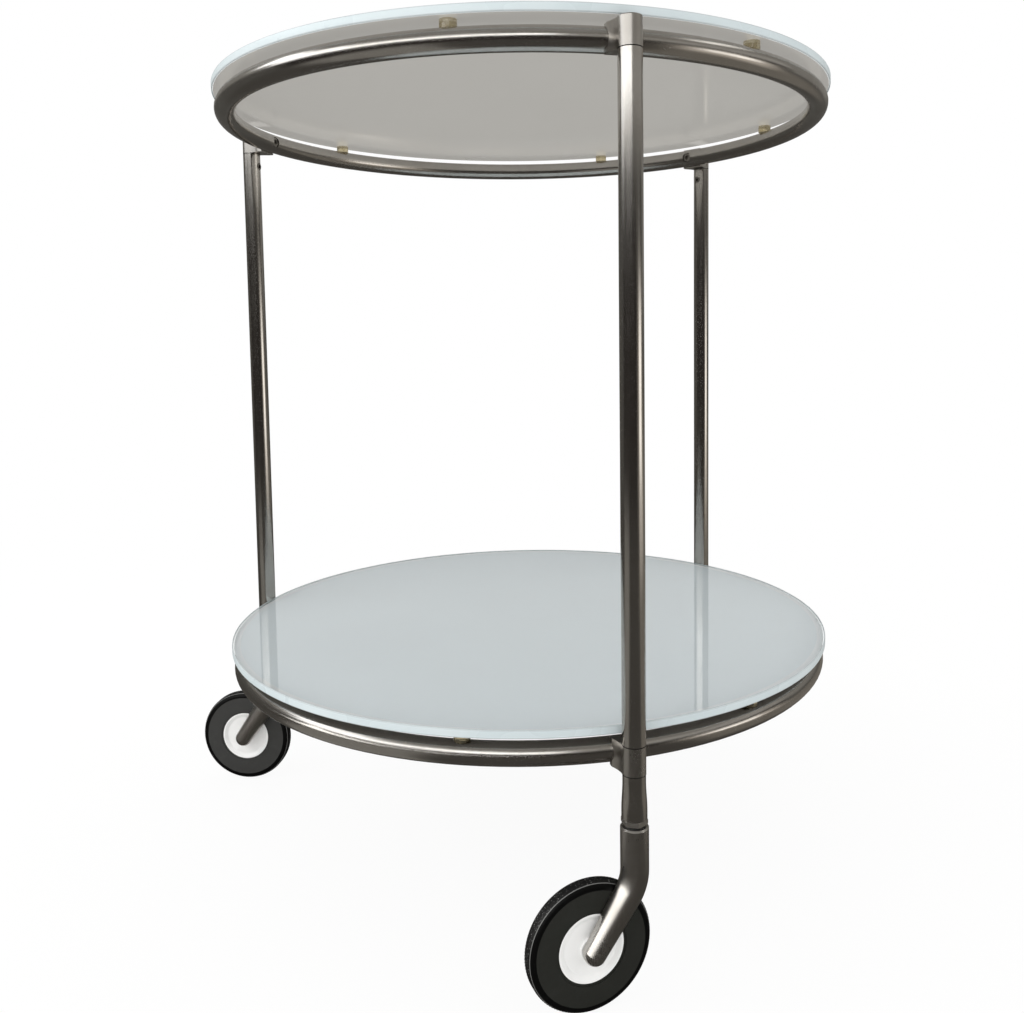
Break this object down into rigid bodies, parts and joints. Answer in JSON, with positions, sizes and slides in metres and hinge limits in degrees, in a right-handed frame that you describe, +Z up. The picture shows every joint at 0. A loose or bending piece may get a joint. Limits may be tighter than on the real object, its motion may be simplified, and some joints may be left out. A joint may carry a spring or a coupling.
{
  "type": "serving trolley",
  "caption": "Round two-tier serving trolley: white glass shelves on tube rings, upright tube legs and swivelling single-wheel casters on bent arms.",
  "frame": {"origin": "on the floor, under the axis of the two rings", "axes": "+Z up, front leg on -Y, X to the right when facing the front leg"},
  "size_m": [0.5375, 0.5194, 0.6234],
  "materials": {
    "plated_steel": "satin nickel plated steel tube",
    "plated_casting": "satin nickel plated casting",
    "white_glass": "white back-painted float glass, polished edge",
    "amber_pad": "translucent amber plastic",
    "screw_steel": "dark plated steel",
    "bush_plastic": "black bearing plastic",
    "hub_plastic": "white moulded plastic",
    "tyre_rubber": "black rubber"
  },
  "bodies": {
    "frame": {"top_glass": "white_glass", "lower_glass": "white_glass", "top_ring": "plated_steel", "lower_ring": "plated_steel", "top_pads": "amber_pad", "lower_pads": "amber_pad", "top_ring_screws": "screw_steel", "lower_ring_screws": "screw_steel", "leg_set_screws": "screw_steel", "swivel_clips": "screw_steel", "front_leg": "plated_steel", "front_top_connector": "plated_casting", "front_lower_connector": "plated_casting", "front_leg_insert": "screw_steel", "front_stem_sleeve": "plated_steel", "front_stem_bolt": "plated_steel", "right_leg": "plated_steel", "right_top_connector": "plated_casting", "right_lower_connector": "plated_casting", "right_leg_insert": "screw_steel", "right_stem_sleeve": "plated_steel", "right_stem_bolt": "plated_steel", "left_leg": "plated_steel", "left_top_connector": "plated_casting", "left_lower_connector": "plated_casting", "left_leg_insert": "screw_steel", "left_stem_sleeve": "plated_steel", "left_stem_bolt": "plated_steel"},
    "front_caster": {"front_caster_arm": "plated_casting", "front_swivel_bush": "bush_plastic", "front_axle": "plated_steel", "front_axle_cap": "plated_steel"},
    "front_wheel": {"front_wheel_hub": "hub_plastic", "front_tyre": "tyre_rubber"},
    "right_caster": {"right_caster_arm": "plated_casting", "right_swivel_bush": "bush_plastic", "right_axle": "plated_steel", "right_axle_cap": "plated_steel"},
    "right_wheel": {"right_wheel_hub": "hub_plastic", "right_tyre": "tyre_rubber"},
    "left_caster": {"left_caster_arm": "plated_casting", "left_swivel_bush": "bush_plastic", "left_axle": "plated_steel", "left_axle_cap": "plated_steel"},
    "left_wheel": {"left_wheel_hub": "hub_plastic", "left_tyre": "tyre_rubber"}
  },
  "joints": [
    {"name": "front_swivel", "type": "hinge", "parent": "frame", "child": "front_caster", "pos_m": [0, -0.2586, 0.1196], "axis": [0, 0, 1], "continuous": true},
    {"name": "front_roll", "type": "hinge", "parent": "front_caster", "child": "front_wheel", "pos_m": [-0.02909, -0.2525, 0.0425], "axis": [0.1149, -0.9934, 0], "continuous": true},
    {"name": "right_swivel", "type": "hinge", "parent": "frame", "child": "right_caster", "pos_m": [0.22395, 0.1293, 0.1196], "axis": [0, 0, 1], "continuous": true},
    {"name": "right_roll", "type": "hinge", "parent": "right_caster", "child": "right_wheel", "pos_m": [0.19757, 0.143, 0.0425], "axis": [-0.1564, -0.9877, 0], "continuous": true},
    {"name": "left_swivel", "type": "hinge", "parent": "frame", "child": "left_caster", "pos_m": [-0.22395, 0.1293, 0.1196], "axis": [0, 0, 1], "continuous": true},
    {"name": "left_roll", "type": "hinge", "parent": "left_caster", "child": "left_wheel", "pos_m": [-0.24691, 0.14818, 0.0425], "axis": [-0.3584, -0.9336, 0], "continuous": true}
  ]
}
